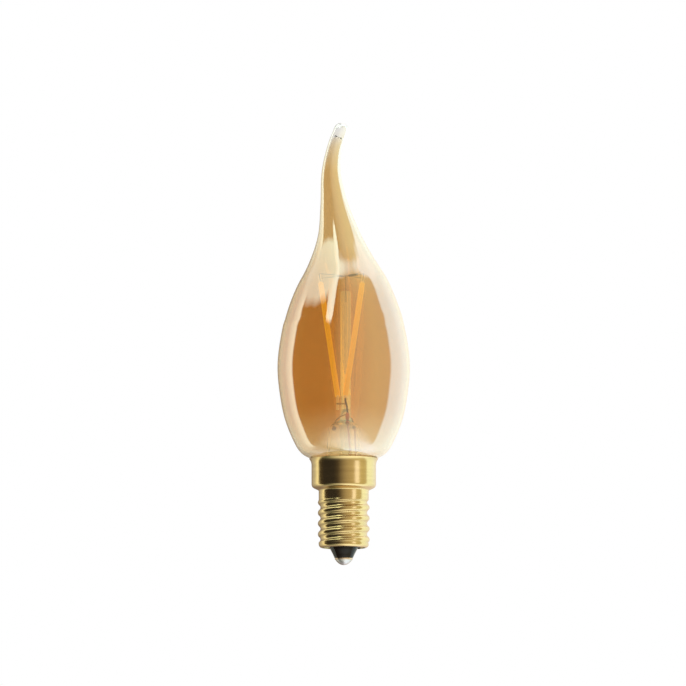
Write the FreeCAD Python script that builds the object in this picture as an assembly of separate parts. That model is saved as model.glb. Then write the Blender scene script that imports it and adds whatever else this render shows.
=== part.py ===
import FreeCAD, Part
import math
import os

# Bent-tip candle bulb with four LED filaments and a small Edison screw cap, in millimetres.
# +Z runs up the bulb's axis from the cap to the glass tip, and the flame tip leans towards -X.
# The origin is on the axis at the end of the centre contact, where the bulb meets its holder.

# Cap: a 14 mm Edison thread under a wider skirt with a flared rim
contact_diameter = 4.8
contact_height = 1.85
eyelet_height = 0.5
eyelet_bore = 1.2
eyelet_shank_length = 2.2
eyelet_shank_diameter = 2.0
solder_edge = 0.45
solder_flat = 0.7
nose_height = 2.7
nose_diameter = 7.4
nose_waist = 0.1
insulator_disc_height = 1.7
insulator_side_gap = 0.05
cap_sheet = 0.25
thread_pitch = 2.822
thread_major = 13.65
thread_minor = 12.29
thread_length = 12.9
thread_run_out = 0.9
thread_phase = 15.2
bottom_round = 0.9
neck_band_diameter = 13.2
neck_band_height = 2.2
shoulder_height = 1.0
skirt_diameter = 17.0
skirt_length = 5.7
flare_diameter = 18.3
flare_height = 1.8
thread_seat_step = 0.02

# Blown glass envelope
glass_diameter = 35.0
overall_height = 117.4
belly_rise = 24.3
glass_wall = 0.7
cement_gap = 0.6
seal_width = 1.0
tip_diameter = 3.9
tip_solid_length = 2.2
lean_start = 13.5
lean_reach = 3.35

# Glass mount inside the envelope
stem_diameter = 8.9
stem_wall = 0.8
stem_dome_rise = 2.65
stem_height_over_rim = 9.8
flare_flange = 0.8
exhaust_diameter = 3.4
exhaust_wall = 0.7
exhaust_rise = 1.0
column_diameter = 2.8
column_offset = 0.5
column_foot_height = 1.2
seat_margin = 0.1

# LED filaments, in a front pair and a rear pair
coat_diameter = 1.4
strip_width = 0.8
strip_thickness = 0.3
strip_top_tab = 2.0
strip_foot_tab = 3.4
fan_height_over_dome = 3.4
fan_glass_gap = 2.6
fan_corner_turn = 35
fan_foot_spread = 1.0
fan_shift = -0.6
fan_foot_depth = 2.3

# Wires
lead_diameter = 0.5
bridge_diameter = 0.4
pad_length = 1.6
bridge_rise = 0.3
bridge_height_share = 0.492
bridge_post_height = 4.6
bridge_seal_depth = 3.0
lead_turn_height = 2.0
lead_turn_share = 0.2
front_entry_place = (1.0, -2.4)
rear_entry_place = (3.0, 0.6)
anchor_place = (-3.0, -1.2)
shoulder_drop = 1.0

# Driver inside the cap
board_thickness = 0.8
board_width = 8.6
board_top_gap = 1.0
front_solder_x = 2.6
rear_solder_x = 3.6
lead_solder_drop = 1.2
capacitor_diameter = 5.0
capacitor_length = 8.6
capacitor_clearance = 0.2
capacitor_pin_pitch = 2.0
capacitor_pin_drop = 1.1
rectifier_size = (4.7, 1.6, 3.9)
rectifier_drop = 2.2
chip_size = (4.5, 1.5, 2.5)
chip_rise = 1.0
block_x = -1.0
resistor_diameter = 1.9
resistor_length = 4.5
resistor_x = 2.9
resistor_lead_span = 6.5
board_lead_diameter = 0.5
contact_wire_rise = 0.6
shell_wire_x = -3.4

# Heights from the contact upwards
nose_bottom = contact_height
shell_bottom = nose_bottom + nose_height
disc_bottom = shell_bottom + cap_sheet
board_bottom = disc_bottom + insulator_disc_height
thread_bottom = shell_bottom + bottom_round
thread_top = shell_bottom + thread_length
shoulder_bottom = thread_top + neck_band_height
skirt_bottom = shoulder_bottom + shoulder_height
skirt_top = skirt_bottom + skirt_length
rim_height = skirt_top + flare_height
seal_height = skirt_bottom + seal_width
belly_height = rim_height + belly_rise
stem_top = rim_height + stem_height_over_rim
board_top = shoulder_bottom - board_top_gap
crown_height = stem_top + (overall_height - stem_top) * bridge_height_share
column_top = crown_height - bridge_post_height
fan_foot = stem_top + fan_height_over_dome
coat_length = crown_height - bridge_rise - strip_top_tab - strip_foot_tab - fan_foot

# Radii that follow from the sizes above
glass_radius = glass_diameter / 2
tip_radius = tip_diameter / 2
skirt_radius = skirt_diameter / 2
flare_radius = flare_diameter / 2
band_radius = neck_band_diameter / 2
stem_radius = stem_diameter / 2
skirt_bore = skirt_radius - cap_sheet
neck_radius = skirt_bore - cement_gap
seal_radius = neck_radius - seal_width / 2
cap_floor_radius = band_radius - bottom_round
disc_radius = cap_floor_radius - insulator_side_gap
seat_radius = column_offset + exhaust_diameter / 2 + seat_margin

# Fineness of the forms that are built from rings of straight sides
ring_sides = 36
small_ring_sides = 24
wire_sides = 8
glass_ring_spacing = 5.0
glass_ring_turn = 0.2
inside_ring_spacing = 7.0
inside_ring_turn = 0.3
thread_rows_per_pitch = 6
flat_tolerance = 1e-7

UP = FreeCAD.Vector(0, 0, 1)


def point(x, y, z):
    return FreeCAD.Vector(x, y, z)


def cylinder(radius, low, high, x=0, y=0):
    return Part.makeCylinder(radius, high - low, point(x, y, low), UP)


def flat_faces(corners):
    """One face through four corners that lie in a plane, otherwise two triangles."""
    a, b, c, d = corners
    if abs((b - a).cross(c - a).dot(d - a)) < flat_tolerance:
        loops = [(a, b, c, d, a)]
    else:
        loops = [(a, b, c, a), (a, c, d, a)]
    return [Part.Face(Part.makePolygon(loop)) for loop in loops]


def ring_solid(rings, hollow=False):
    """Solid with flat faces between rings of corners; a hollow one closes from last ring to first."""
    ends = [] if hollow else [rings[0], rings[-1]]
    faces = [Part.Face(Part.makePolygon(end + end[:1])) for end in ends]
    neighbours = list(zip(rings, rings[1:]))
    if hollow:
        neighbours.append((rings[-1], rings[0]))
    for low, high in neighbours:
        for here in range(len(low)):
            after = (here + 1) % len(low)
            faces += flat_faces([low[here], low[after], high[after], high[here]])
    shell = Part.makeShell(faces)
    shell.sewShape()
    solid = Part.makeSolid(shell)
    if solid.Volume < 0:
        solid.reverse()
    return solid


def ring(centre, direction, radii):
    """Corners square to a direction, one for each radius, from +X round to +Y."""
    depth = point(0, 1, 0)
    across = depth.cross(direction).normalize()
    corners = []
    for index, radius in enumerate(radii):
        angle = 2 * math.pi * index / len(radii)
        corners.append(centre + across * (radius * math.cos(angle)) + depth * (radius * math.sin(angle)))
    return corners


def level_ring(radius, height, sides=ring_sides):
    return ring(point(0, 0, height), UP, [radius] * sides)


def turned(outline, sides=ring_sides):
    """Turned solid from (radius, height) corners, which runs round a bore or from axis to axis."""
    rings = [level_ring(radius, height, sides) for radius, height in outline if radius > 0]
    return ring_solid(rings, hollow=outline[0][0] > 0)


def arc_points(start, middle, end, steps):
    """(radius, height) points evenly along the arc through three points."""
    ends = [point(radius, 0, height) for radius, height in (start, middle, end)]
    curve = Part.Arc(*ends).toShape().Curve
    first = curve.parameter(ends[0])
    last = curve.parameter(ends[2])
    if last < first:
        last += 2 * math.pi
    places = [curve.value(first + (last - first) * step / steps) for step in range(steps + 1)]
    return [(place.x, place.z) for place in places]


def straight_wire(start, end, diameter):
    """Straight wire with a few flat sides in place of round."""
    rings = [ring(place, (end - start).normalize(), [diameter / 2] * wire_sides) for place in (start, end)]
    return ring_solid(rings)


def bent_wire(corners, diameter):
    """Straight runs that meet in mitres at the corners between them."""
    runs = [(end - start).normalize() for start, end in zip(corners, corners[1:])]
    rings = [ring(corners[0], runs[0], [diameter / 2] * wire_sides)]
    for corner, before, after in zip(corners[1:], runs, runs[1:] + runs[-1:]):
        mitre = before + after
        slope = before.dot(mitre)
        rings.append([spot + before * ((corner - spot).dot(mitre) / slope) for spot in rings[-1]])
    return ring_solid(rings)


# Screw cap

def thread_radius(angle, height):
    """Radius of the rolled thread: crest and root arcs that are tangent at half depth."""
    depth = (thread_major - thread_minor) / 2
    arc_radius = ((thread_pitch / 4) ** 2 + (depth / 2) ** 2) / depth
    along = height - thread_phase - thread_pitch * angle / (2 * math.pi)
    from_crest = abs(along - thread_pitch * round(along / thread_pitch))
    if from_crest < thread_pitch / 4:
        radius = thread_major / 2 - arc_radius + math.sqrt(arc_radius ** 2 - from_crest ** 2)
    else:
        from_root = thread_pitch / 2 - from_crest
        radius = thread_minor / 2 + arc_radius - math.sqrt(arc_radius ** 2 - from_root ** 2)
    plain_radius = band_radius - thread_seat_step
    end_distance = min(height - thread_bottom, thread_top - height)
    share = max(0.0, min(1.0, end_distance / thread_run_out))
    blend = share * share * (3 - 2 * share)
    return plain_radius + (radius - plain_radius) * blend


def threaded_shell():
    """Rounded lower end, rolled thread, neck band and shoulder, ring by ring."""
    outline = arc_points(
        (cap_floor_radius, shell_bottom),
        (band_radius - bottom_round * (1 - math.sqrt(0.5)), thread_bottom - bottom_round * math.sqrt(0.5)),
        (band_radius, thread_bottom),
        3,
    )
    rings = [level_ring(radius, height) for radius, height in outline]
    angles = [2 * math.pi * side / ring_sides for side in range(ring_sides)]
    rows = round((thread_top - thread_bottom) / thread_pitch * thread_rows_per_pitch)
    for row in range(1, rows):
        height = thread_bottom + (thread_top - thread_bottom) * row / rows
        radii = [thread_radius(angle, height) for angle in angles]
        rings.append(ring(point(0, 0, height), UP, radii))
    rings.append(level_ring(band_radius, thread_top))
    rings.append(level_ring(band_radius, shoulder_bottom))
    rings.append(level_ring(skirt_radius, skirt_bottom))
    return ring_solid(rings)


def flare_points(inset):
    """(radius, height) points up the flared rim, inset by the sheet for the inside."""
    skirt = skirt_radius - inset
    flare = flare_radius - inset
    middle = (skirt + (flare - skirt) * 0.3, skirt_top + flare_height * 0.55)
    return arc_points((skirt, skirt_top), middle, (flare, rim_height), 2)


def cap_cavity():
    """Space inside the sheet, from the in-turned bottom to the open rim."""
    bore = thread_minor / 2 - cap_sheet
    band = band_radius - cap_sheet
    outline = [
        (0, disc_bottom),
        (cap_floor_radius, disc_bottom),
        (bore, thread_bottom),
        (bore, thread_top - thread_run_out),
        (band, thread_top),
        (band, shoulder_bottom + cap_sheet),
        (skirt_bore, skirt_bottom + cap_sheet),
    ]
    return turned(outline + flare_points(cap_sheet) + [(0, rim_height)])


def screw_cap(cavity):
    """Rolled shell with a plain round skirt and a flared rim."""
    skirt = cylinder(skirt_radius, skirt_bottom, skirt_top)
    rim = turned([(0, skirt_top)] + flare_points(0) + [(0, rim_height)])
    body = threaded_shell().fuse([skirt, rim])
    nose_hole = cylinder(nose_diameter / 2, shell_bottom, disc_bottom)
    return body.cut([cavity, nose_hole])


def insulator():
    """Black glass disc that fills the bottom of the shell and tapers down to the contact."""
    nose_top = nose_diameter / 2
    nose_end = contact_diameter / 2
    bore = eyelet_shank_diameter / 2
    waist = ((nose_top + nose_end) / 2 - nose_waist, nose_bottom + nose_height / 2)
    shank_top = nose_bottom + eyelet_shank_length
    wire_bore = board_lead_diameter / 2
    outline = [(bore, nose_bottom)]
    outline += arc_points((nose_end, nose_bottom), waist, (nose_top, shell_bottom), 2)
    outline += [
        (nose_top, disc_bottom),
        (disc_radius, disc_bottom),
        (disc_radius, board_bottom),
        (wire_bore, board_bottom),
        (wire_bore, shank_top),
        (bore, shank_top),
    ]
    return turned(outline, small_ring_sides)


def centre_contact():
    """Eyelet with a shank that is set in the insulator."""
    bore = eyelet_bore / 2
    shank = eyelet_shank_diameter / 2
    return turned([
        (bore, nose_bottom - eyelet_height),
        (contact_diameter / 2, nose_bottom - eyelet_height),
        (contact_diameter / 2, nose_bottom),
        (shank, nose_bottom),
        (shank, nose_bottom + eyelet_shank_length),
        (bore, nose_bottom + eyelet_shank_length),
    ], small_ring_sides)


def contact_solder(wire):
    """Domed solder over the eyelet, which also fills its bore round the wire."""
    edge_top = nose_bottom - eyelet_height
    edge_low = edge_top - solder_edge
    radius = contact_diameter / 2
    bore = eyelet_bore / 2
    dome_centre = (radius ** 2 + edge_low ** 2) / (2 * edge_low)
    half_angle = math.asin(radius / dome_centre)
    steps = 3
    outline = [(0, 0), (solder_flat / 2, 0)]
    for step in range(1, steps + 1):
        angle = half_angle * step / steps
        outline.append((dome_centre * math.sin(angle), dome_centre * (1 - math.cos(angle))))
    outline += [
        (radius, edge_top),
        (bore, edge_top),
        (bore, nose_bottom + eyelet_shank_length),
        (0, nose_bottom + eyelet_shank_length),
    ]
    return turned(outline, small_ring_sides).cut(wire)


# Glass envelope

def outline_points():
    """Radius and height of the glass, from the seal in the cap to the thin neck of the flame."""
    flame_length = overall_height - tip_radius - belly_height
    points = [
        (seal_radius, seal_height),
        (neck_radius, seal_height + 0.45 * (rim_height - seal_height)),
        (neck_radius + 0.35, rim_height - 0.6),
    ]
    for rise, width in ((0.055, 0.63), (0.17, 0.742), (0.42, 0.884), (0.70, 0.964), (1.0, 1.0)):
        points.append((width * glass_radius, rim_height + rise * belly_rise))
    for rise, width in (
        (0.115, 0.958), (0.225, 0.865), (0.345, 0.700), (0.445, 0.500), (0.555, 0.325),
        (0.68, 0.213), (0.80, 0.152),
    ):
        points.append((width * glass_radius, belly_height + rise * flame_length))
    points.append((tip_radius * 1.04, belly_height + 0.91 * flame_length))
    points.append((tip_radius, belly_height + flame_length))
    return points


def spline(points):
    curve = Part.BSplineCurve()
    curve.interpolate(Points=points)
    return curve


def outer_outline():
    return spline([point(radius, 0, height) for radius, height in outline_points()])


def inner_outline():
    """The outline moved in by the wall, square to the glass."""
    outer = outer_outline()
    samples = 44
    points = []
    for sample in range(samples + 1):
        parameter = outer.FirstParameter
        parameter += (outer.LastParameter - outer.FirstParameter) * sample / samples
        along = outer.tangent(parameter)[0]
        inward = point(-along.z, 0, along.x).normalize()
        points.append(outer.value(parameter) + inward * glass_wall)
    return spline(points)


def centre_line():
    """Middle of the flame tip: it leans out, then curls back at the end."""
    top = overall_height - tip_radius
    bend_bottom = belly_height + lean_start
    span = top - bend_bottom
    stations = ((0, 0), (0.20, 0.08), (0.42, 0.37), (0.60, 0.76), (0.77, 1.0), (0.90, 0.74), (1.0, 0.20))
    points = [point(-lean * lean_reach, 0, bend_bottom + share * span) for share, lean in stations]
    heights = [place.z for place in points]
    curve = Part.BSplineCurve()
    curve.interpolate(
        Points=points,
        Parameters=heights,
        InitialTangent=UP,
        FinalTangent=point(0.55, 0, 1),
    )
    return curve


def stations(outline, spacing, turn_step):
    """Parameters along the outline, one for each spacing of length or turn_step of bending."""
    fine_steps = 600
    first = outline.FirstParameter
    span = outline.LastParameter - first
    places = [first]
    gone = 0.0
    for step in range(1, fine_steps + 1):
        before = first + span * (step - 1) / fine_steps
        after = first + span * step / fine_steps
        run = (outline.value(after) - outline.value(before)).Length
        bend = outline.tangent(before)[0].getAngle(outline.tangent(after)[0])
        gone += run / spacing + bend / turn_step
        if gone >= 1:
            places.append(after)
            gone = 0.0
    places[-1] = outline.LastParameter
    return places


def glass_body(outline, top, spacing, turn_step):
    """Solid of the envelope: rings square to the flame's centre line, closed by a round end."""
    rings = [(outline.value(outline.FirstParameter).x, seal_height)]
    for parameter in stations(outline, spacing, turn_step):
        place = outline.value(parameter)
        if seal_height + glass_wall / 2 < place.z < top - spacing / 3:
            rings.append((place.x, place.z))
    end_radius = outline.value(parameter_at(outline, top)).x
    rings.append((end_radius, top))
    for angle in (35, 65, 84):
        turn = math.radians(angle)
        rings.append((end_radius * math.cos(turn), top + end_radius * math.sin(turn)))
    middle = centre_line()
    sections = []
    for radius, height in rings:
        centre = point(0, 0, height)
        direction = UP
        if height > belly_height + lean_start:
            on_line = min(height, top)
            direction = middle.tangent(on_line)[0]
            centre = middle.value(on_line) + direction * (height - on_line)
        sections.append(ring(centre, direction, [radius] * ring_sides))
    return ring_solid(sections)


def parameter_at(curve, height):
    """Parameter where a rising outline reaches a height, by halving the interval."""
    low = curve.FirstParameter
    high = curve.LastParameter
    for _ in range(40):
        middle = (low + high) / 2
        if curve.value(middle).z < height:
            low = middle
        else:
            high = middle
    return low


def glass_envelope(outer):
    cavity_top = overall_height - tip_radius - tip_solid_length
    return outer.cut(glass_body(inner_outline(), cavity_top, inside_ring_spacing, inside_ring_turn))


def basing_cement(outer):
    """Ring of cement between the skirt and the neck of the glass."""
    low = seal_height + seal_width
    filling = turned([(0, low), (skirt_bore, low), (skirt_bore, skirt_top), (0, skirt_top)])
    return filling.cut(outer)


# Glass mount

def stem_solid(inset):
    """Flared tube whose dome has a flat seat for the column, inset by its wall for the inside."""
    radius = stem_radius - inset
    flare = seal_radius - glass_wall - seat_margin - inset
    dome_foot = stem_top - stem_dome_rise
    top = stem_top - inset
    dome_mid = (seat_radius + (radius - seat_radius) * 0.68, dome_foot + (top - dome_foot) * 0.64)
    outline = [(0, seal_height - flare_flange), (flare, seal_height - flare_flange), (flare, seal_height)]
    outline.append((radius, seal_height + 2 * seal_width))
    outline += arc_points((radius, dome_foot), dome_mid, (seat_radius, top), 3)
    outline.append((0, top))
    return turned(outline, small_ring_sides)


def stem_tube(wires):
    """Stem with the flange that is fused to the lower end of the envelope."""
    low = seal_height - flare_flange
    flange = [(0, low), (seal_radius, low), (seal_radius, seal_height), (0, seal_height)]
    return stem_solid(0).fuse(turned(flange, small_ring_sides)).cut([stem_solid(stem_wall)] + wires)


def exhaust_tube():
    """Pump tube that hangs in the stem, sealed at its lower end."""
    low = seal_height - flare_flange + exhaust_rise
    top = stem_top - stem_wall
    tube = cylinder(exhaust_diameter / 2, low, top, x=column_offset)
    bore = cylinder(exhaust_diameter / 2 - exhaust_wall, low + exhaust_wall, top, x=column_offset)
    return tube.cut(bore)


def centre_column(bridge):
    """Solid glass rod with a flared foot fused to the stem's flat seat."""
    rod = cylinder(column_diameter / 2, stem_top, column_top, x=column_offset)
    foot_radius = seat_radius - column_offset
    seat = point(column_offset, 0, stem_top)
    foot = Part.makeCone(foot_radius, column_diameter / 2, column_foot_height, seat, UP)
    return rod.fuse(foot).cut(bridge)


# Filaments

SIDES = {"left": -1, "right": 1}
ROWS = {"front": -1, "rear": 1}


def filament_end(row, side, spread, depth, height):
    return point(fan_shift + SIDES[side] * spread / 2, ROWS[row] * depth, height)


def fan_top():
    """Spread and depth of the filaments' upper ends, a set gap inside the glass."""
    outline = outer_outline()
    glass = outline.value(parameter_at(outline, crown_height)).x - glass_wall
    turn = math.radians(fan_corner_turn)
    corner = glass - fan_glass_gap
    return 2 * (corner * math.cos(turn) - abs(fan_shift)), corner * math.sin(turn)


def filament_frame(row, side):
    """Placement with its origin at the coat's lower end, Z along the filament and Y outwards."""
    foot = filament_end(row, side, fan_foot_spread, fan_foot_depth, fan_foot)
    top_spread, top_depth = fan_top()
    length = strip_foot_tab + coat_length
    run_out = (top_spread - fan_foot_spread) / 2
    run_deep = top_depth - fan_foot_depth
    rise = math.sqrt(length ** 2 - run_out ** 2 - run_deep ** 2)
    high = filament_end(row, side, top_spread, top_depth, fan_foot + rise)
    along = (high - foot).normalize()
    in_plane = point(1, 0, 0)
    outward = in_plane.cross(along) * ROWS[row] * -1
    across = outward.cross(along)
    turn = FreeCAD.Rotation(across, outward, along, "ZYX")
    return FreeCAD.Placement(foot + along * strip_foot_tab, turn)


def strip(frame):
    """Metal strip that carries the chips and ends in a bare tab at each side."""
    bar = Part.makeBox(
        strip_width, strip_thickness, coat_length + strip_top_tab + strip_foot_tab,
        point(-strip_width / 2, -strip_thickness / 2, -strip_foot_tab),
    )
    bar.Placement = frame
    return bar


def coat(frame, core):
    """Round yellow phosphor coat moulded over the strip."""
    body = Part.makeCylinder(coat_diameter / 2, coat_length)
    body.Placement = frame
    return body.cut(core)


def wire_seat(frame, diameter, height):
    """Point on a strip's outward side where a wire of this diameter lies on its face."""
    return frame.multVec(point(0, (strip_thickness + diameter) / 2, height))


def top_pad(frame):
    """Flattened wire end on the outer face of a strip's upper tab."""
    low = coat_length + strip_top_tab - pad_length
    corner = point(-bridge_diameter / 2, strip_thickness / 2, low)
    pad = Part.makeBox(bridge_diameter, bridge_diameter, pad_length, corner)
    pad.Placement = frame
    return pad


# Wires

def filament_bridge(frames):
    """Two crossing wires that join the upper tabs, welded to a support wire in the column."""
    tab_top = coat_length + strip_top_tab
    hub_height = wire_seat(frames["front", "left"], bridge_diameter, tab_top).z + bridge_rise
    hub = point(column_offset, 0, hub_height)
    pieces = []
    for frame in frames.values():
        pieces.append(top_pad(frame))
        start = wire_seat(frame, bridge_diameter, tab_top - pad_length / 2)
        knee = wire_seat(frame, bridge_diameter, tab_top + bridge_rise)
        knee.z = hub_height
        pieces.append(bent_wire([start, knee, hub], bridge_diameter))
    foot = point(column_offset, 0, column_top - bridge_seal_depth)
    pieces.append(straight_wire(foot, hub, bridge_diameter))
    return pieces[0].fuse(pieces[1:])


def lead_corners(frames, row, entry):
    """Path of an inner lead: between a pair's lower tabs, down, over the stem and into the glass."""
    height = -strip_foot_tab + pad_length / 2
    left = wire_seat(frames[row, "left"], lead_diameter, height)
    right = wire_seat(frames[row, "right"], lead_diameter, height)
    middle = (left + right) / 2
    knee = point(middle.x, middle.y, middle.z - pad_length)
    turn_x = column_offset + (entry.x - column_offset) * lead_turn_share
    return [middle, knee, point(turn_x, middle.y, stem_top + lead_turn_height), entry]


def inner_lead(frames, row, corners):
    """Nickel lead whose flattened end lies across both lower tabs of a pair."""
    frame = frames[row, "left"]
    outward = frame.Rotation.multVec(point(0, 1, 0))
    across = point(1, 0, 0)
    left_foot = wire_seat(frame, lead_diameter, -strip_foot_tab)
    right_foot = wire_seat(frames[row, "right"], lead_diameter, -strip_foot_tab)
    width = right_foot.x - left_foot.x + strip_width
    turn = FreeCAD.Rotation(across, outward, across.cross(outward), "XYZ")
    corner = point(-width / 2, -lead_diameter / 2, -pad_length / 2)
    pad = Part.makeBox(width, lead_diameter, pad_length, corner)
    pad.Placement = FreeCAD.Placement(corners[0], turn)
    return pad.fuse(bent_wire(corners, lead_diameter))


def outer_lead(entry, end, inner):
    """Copper-clad lead from the glass down to where it is soldered on the driver board."""
    return straight_wire(entry, end, lead_diameter).cut(inner)


def anchor_wire(foot, joint, lead):
    """Support wire from the stem's shoulder to the front lead."""
    return straight_wire(foot, joint, lead_diameter).cut(lead)


# Driver

def driver_board(leads):
    board = Part.makeBox(
        board_width, board_thickness, board_top - board_bottom,
        point(-board_width / 2, -board_thickness, board_bottom),
    )
    return board.cut(leads)


def board_block(size, low):
    """A packaged part that sits on the front face of the board."""
    width, depth, height = size
    return Part.makeBox(width, depth, height, point(block_x - width / 2, -board_thickness - depth, low))


def reservoir_capacitor():
    """Can behind the board, with two pins set into the board's rear face."""
    y = capacitor_clearance + capacitor_diameter / 2
    low = board_bottom + capacitor_pin_drop + capacitor_clearance
    can = cylinder(capacitor_diameter / 2, low, low + capacitor_length, y=y)
    pins = []
    for side in SIDES.values():
        x = side * capacitor_pin_pitch / 2
        corners = [
            point(x, y, low + capacitor_clearance),
            point(x, y, low - capacitor_pin_drop + board_lead_diameter / 2),
            point(x, -board_thickness, low - capacitor_pin_drop + board_lead_diameter / 2),
        ]
        pins.append(bent_wire(corners, board_lead_diameter))
    return can.fuse(pins)


def fusible_resistor():
    """Axial resistor on the board's front face, with straight leads set into that face."""
    x = resistor_x
    middle = (board_bottom + board_top) / 2
    y = -board_thickness
    body_y = y - resistor_diameter / 2
    low = middle - resistor_length / 2
    body = cylinder(resistor_diameter / 2, low, low + resistor_length, x, body_y)
    leads = []
    for side in (-1, 1):
        height = middle + side * resistor_lead_span / 2
        corners = [point(x, body_y, middle), point(x, body_y, height), point(x, 0, height)]
        leads.append(bent_wire(corners, board_lead_diameter))
    return body.fuse(leads)


def contact_wire():
    """Straight wire on the axis, from the board's rear face into the solder of the contact."""
    low = point(0, 0, 2 * solder_edge)
    return straight_wire(low, point(0, 0, board_bottom + contact_wire_rise), board_lead_diameter)


def shell_wire(cavity):
    """Wire from the board's rear face to the inside of the neck band."""
    start = point(shell_wire_x, 0, board_top - board_lead_diameter)
    end = point(-band_radius, 0, board_top - board_lead_diameter)
    return straight_wire(start, end, board_lead_diameter).common(cavity)


def build():
    nodes = {}
    cavity = cap_cavity()
    nodes["screw_cap"] = screw_cap(cavity)
    nodes["contact_wire"] = contact_wire()
    nodes["insulator"] = insulator()
    nodes["centre_contact"] = centre_contact()
    nodes["contact_solder"] = contact_solder(nodes["contact_wire"])

    tip_height = overall_height - tip_radius
    outer = glass_body(outer_outline(), tip_height, glass_ring_spacing, glass_ring_turn)
    nodes["glass_envelope"] = glass_envelope(outer)
    nodes["basing_cement"] = basing_cement(outer)

    frames = {(row, side): filament_frame(row, side) for row in ROWS for side in SIDES}
    for (row, side), frame in frames.items():
        core = strip(frame)
        nodes["strip_" + row + "_" + side] = core
        nodes["filament_" + row + "_" + side] = coat(frame, core)
    nodes["filament_bridge"] = filament_bridge(frames)
    nodes["centre_column"] = centre_column(nodes["filament_bridge"])

    entry_height = stem_top - stem_wall
    front_entry = point(*front_entry_place, entry_height)
    rear_entry = point(*rear_entry_place, entry_height - shoulder_drop)
    anchor_foot = point(*anchor_place, entry_height - shoulder_drop)
    front_corners = lead_corners(frames, "front", front_entry)
    rear_corners = lead_corners(frames, "rear", rear_entry)
    front = inner_lead(frames, "front", front_corners)
    rear = inner_lead(frames, "rear", rear_corners)
    solder_height = board_top - lead_solder_drop
    front_end = point(front_solder_x, -board_thickness, solder_height)
    rear_end = point(rear_solder_x, 0, solder_height)
    nodes["inner_lead_front"] = front
    nodes["inner_lead_rear"] = rear
    nodes["outer_lead_front"] = outer_lead(front_entry, front_end, front)
    nodes["outer_lead_rear"] = outer_lead(rear_entry, rear_end, rear)
    nodes["anchor_wire"] = anchor_wire(anchor_foot, front_corners[2], front)
    wires = [nodes[name] for name in nodes if "_lead_" in name or name == "anchor_wire"]
    nodes["stem_tube"] = stem_tube(wires)
    nodes["exhaust_tube"] = exhaust_tube()

    nodes["reservoir_capacitor"] = reservoir_capacitor()
    nodes["fusible_resistor"] = fusible_resistor()
    rectifier_low = board_top - rectifier_drop - rectifier_size[2]
    nodes["bridge_rectifier"] = board_block(rectifier_size, rectifier_low)
    nodes["driver_chip"] = board_block(chip_size, board_bottom + chip_rise)
    nodes["shell_wire"] = shell_wire(cavity)
    leads = [nodes["reservoir_capacitor"], nodes["fusible_resistor"], nodes["contact_wire"]]
    leads += [nodes["shell_wire"], nodes["outer_lead_front"], nodes["outer_lead_rear"]]
    nodes["driver_board"] = driver_board(leads)
    return nodes


parts = build()
os.makedirs("parts", exist_ok=True)
for name, shape in parts.items():
    shape.exportStep("parts/" + name + ".step")
    box = shape.BoundBox
    print(name, len(shape.Solids), shape.isValid(), round(box.ZMin, 2), round(box.ZMax, 2))
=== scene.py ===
# %% [markdown]
# # A candle bulb with a bent tip
# The real bulb is a blown glass flame, tinted amber, over a glass stem that carries LED filaments.
# A gold screw cap closes it below. Glass and polished metal show mostly what surrounds them, so the
# shapes have to be smooth and the studio round them matters as much as the finishes.
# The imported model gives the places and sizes. This file adds smooth skins, wires and finishes.

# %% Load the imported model
import math
import bmesh
import bpy
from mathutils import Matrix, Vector


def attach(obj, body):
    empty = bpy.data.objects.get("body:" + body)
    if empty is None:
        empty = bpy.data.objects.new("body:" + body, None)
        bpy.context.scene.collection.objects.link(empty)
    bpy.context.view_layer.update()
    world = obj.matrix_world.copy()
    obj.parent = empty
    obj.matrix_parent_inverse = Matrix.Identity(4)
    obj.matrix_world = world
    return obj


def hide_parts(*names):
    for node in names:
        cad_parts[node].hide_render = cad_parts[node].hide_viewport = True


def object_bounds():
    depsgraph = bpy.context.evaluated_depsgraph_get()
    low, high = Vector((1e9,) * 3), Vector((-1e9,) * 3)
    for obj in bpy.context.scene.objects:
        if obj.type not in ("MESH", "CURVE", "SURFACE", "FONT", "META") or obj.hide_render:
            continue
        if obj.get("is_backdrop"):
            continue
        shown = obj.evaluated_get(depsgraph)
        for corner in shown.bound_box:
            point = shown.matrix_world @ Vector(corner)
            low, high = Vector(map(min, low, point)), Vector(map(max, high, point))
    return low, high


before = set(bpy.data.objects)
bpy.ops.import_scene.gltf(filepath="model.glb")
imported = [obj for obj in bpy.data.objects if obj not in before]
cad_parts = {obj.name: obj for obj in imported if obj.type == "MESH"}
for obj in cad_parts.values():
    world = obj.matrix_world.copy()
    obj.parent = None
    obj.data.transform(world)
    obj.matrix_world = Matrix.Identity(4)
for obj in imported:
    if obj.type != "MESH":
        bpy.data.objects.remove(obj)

MM = 0.001
cad_low, cad_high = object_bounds()
print("nodes:", len(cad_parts), "box:", [round(v / MM, 2) for v in (*cad_low, *cad_high)])

# %% [markdown]
# ## Camera
# The photograph looks at the bulb from the front and a little from below, through a long lens, so
# upright lines stay upright. A lens is a length on a sensor: the width that it sees at a distance is
# the sensor's width times the distance over the focal length. The middle and the width of the view
# are set so that the bulb fills the picture as it does in the photograph.

# %% Camera from a little below
view_width = 181.2 * MM
view_centre = Vector((-0.2 * MM, 0, 58.8 * MM))
view_elevation = math.radians(-6)
camera_distance = 2.0
sensor_width = 36
far_clip = 20
towards_camera = Vector((0, -math.cos(view_elevation), math.sin(view_elevation)))
camera_data = bpy.data.cameras.new("camera")
camera_data.sensor_width = sensor_width
camera_data.lens = sensor_width * camera_distance / view_width
camera_data.clip_end = far_clip
camera = bpy.data.objects.new("camera", camera_data)
camera.location = view_centre + towards_camera * camera_distance
camera.rotation_mode = "QUATERNION"
camera.rotation_quaternion = (-towards_camera).to_track_quat("-Z", "Y")
bpy.context.scene.collection.objects.link(camera)
bpy.context.scene.camera = camera
print("lens", round(camera_data.lens), "mm")

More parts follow.
